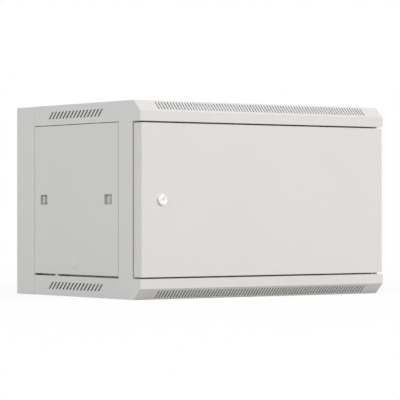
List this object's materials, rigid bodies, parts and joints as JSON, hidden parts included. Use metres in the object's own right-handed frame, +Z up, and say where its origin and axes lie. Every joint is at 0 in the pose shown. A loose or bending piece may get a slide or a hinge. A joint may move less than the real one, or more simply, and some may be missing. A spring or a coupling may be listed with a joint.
{
  "type": "wall mount network cabinet",
  "caption": "Shallow steel wall cabinet for 19 inch equipment, with a locking hinged door, removable latched side panels, slotted chamfered covers and adjustable rails.",
  "frame": {"origin": "on the underside, below the middle of the cabinet's bounding box", "axes": "+X to the right of someone facing the door, +Y from the door to the wall, +Z up"},
  "size_m": [0.602, 0.4556, 0.38],
  "materials": {
    "cabinet_paint": "light grey textured powder coat",
    "panel_paint": "light grey textured powder coat",
    "door_paint": "light grey textured powder coat",
    "blank_plastic": "moulded, light grey",
    "zinc_steel": "zinc plated sheet",
    "fastener_zinc": "zinc plated",
    "lock_nickel": "bright nickel",
    "hinge_plastic": "moulded, off white",
    "latch_plastic": "moulded, grey",
    "pad_plastic": "moulded, light grey",
    "bumper_rubber": "matt"
  },
  "bodies": {
    "cabinet": {"top_cover": "cabinet_paint", "bottom_cover": "cabinet_paint", "rear_frame": "cabinet_paint", "back_panel": "cabinet_paint", "back_entry_cover": "cabinet_paint", "bottom_entry_cover": "cabinet_paint", "top_entry_cover": "cabinet_paint", "front_post_left": "cabinet_paint", "front_post_right": "cabinet_paint", "rear_post_left": "cabinet_paint", "rear_post_right": "cabinet_paint", "lower_sill_left": "cabinet_paint", "lower_sill_right": "cabinet_paint", "upper_sill_left": "cabinet_paint", "upper_sill_right": "cabinet_paint", "lower_runner_left": "zinc_steel", "lower_runner_right": "zinc_steel", "upper_runner_left": "zinc_steel", "upper_runner_right": "zinc_steel", "front_rack_rail_left": "zinc_steel", "front_rack_rail_right": "zinc_steel", "back_rack_rail_left": "zinc_steel", "back_rack_rail_right": "zinc_steel", "rail_bolts": "fastener_zinc", "rail_nuts": "fastener_zinc", "cover_screws": "fastener_zinc", "earth_stud": "fastener_zinc", "earth_nut": "fastener_zinc", "bottom_hinge_pin": "fastener_zinc", "panel_rest_pads": "pad_plastic", "door_bumpers": "bumper_rubber"},
    "door": {"door_shell": "door_paint", "door_stiffener": "door_paint", "hinge_bushes": "hinge_plastic", "hinge_pin_bracket": "fastener_zinc", "hinge_spring": "fastener_zinc", "lock_barrel": "lock_nickel", "lock_nut": "lock_nickel"},
    "lock_cylinder": {"lock_plug": "lock_nickel", "lock_cam": "fastener_zinc", "lock_cam_screw": "fastener_zinc"},
    "hinge_pin": {"top_hinge_pin": "fastener_zinc"},
    "side_panel_left": {"side_panel_left": "panel_paint", "front_latch_housing_left": "latch_plastic", "back_latch_housing_left": "latch_plastic", "lock_hole_plug_left": "blank_plastic"},
    "front_latch_left": {"front_latch_bolt_left": "latch_plastic"},
    "back_latch_left": {"back_latch_bolt_left": "latch_plastic"},
    "side_panel_right": {"side_panel_right": "panel_paint", "front_latch_housing_right": "latch_plastic", "back_latch_housing_right": "latch_plastic", "lock_hole_plug_right": "blank_plastic"},
    "front_latch_right": {"front_latch_bolt_right": "latch_plastic"},
    "back_latch_right": {"back_latch_bolt_right": "latch_plastic"}
  },
  "joints": [
    {"name": "door_hinge", "type": "hinge", "parent": "cabinet", "child": "door", "pos_m": [0.287, -0.21125, 0.19], "axis": [0, 0, 1], "range_deg": [0, 180]},
    {"name": "lock_turn", "type": "hinge", "parent": "door", "child": "lock_cylinder", "pos_m": [-0.25, -0.21225, 0.19], "axis": [0, 1, 0], "range_deg": [0, 90]},
    {"name": "hinge_pin_release", "type": "slide", "parent": "door", "child": "hinge_pin", "axis": [0, 0, -1], "range_m": [0, 0.01], "stiffness_N_per_m": 400, "springref_m": -0.01, "deforming": ["hinge_spring"]},
    {"name": "side_panel_left_off", "type": "slide", "parent": "cabinet", "child": "side_panel_left", "axis": [-1, 0, 0], "range_m": [0, 0.1]},
    {"name": "front_latch_left_slide", "type": "slide", "parent": "side_panel_left", "child": "front_latch_left", "axis": [0, -1, 0], "range_m": [0, 0.005]},
    {"name": "back_latch_left_slide", "type": "slide", "parent": "side_panel_left", "child": "back_latch_left", "axis": [0, 1, 0], "range_m": [0, 0.005]},
    {"name": "side_panel_right_off", "type": "slide", "parent": "cabinet", "child": "side_panel_right", "axis": [1, 0, 0], "range_m": [0, 0.1]},
    {"name": "front_latch_right_slide", "type": "slide", "parent": "side_panel_right", "child": "front_latch_right", "axis": [0, -1, 0], "range_m": [0, 0.005]},
    {"name": "back_latch_right_slide", "type": "slide", "parent": "side_panel_right", "child": "back_latch_right", "axis": [0, 1, 0], "range_m": [0, 0.005]}
  ]
}
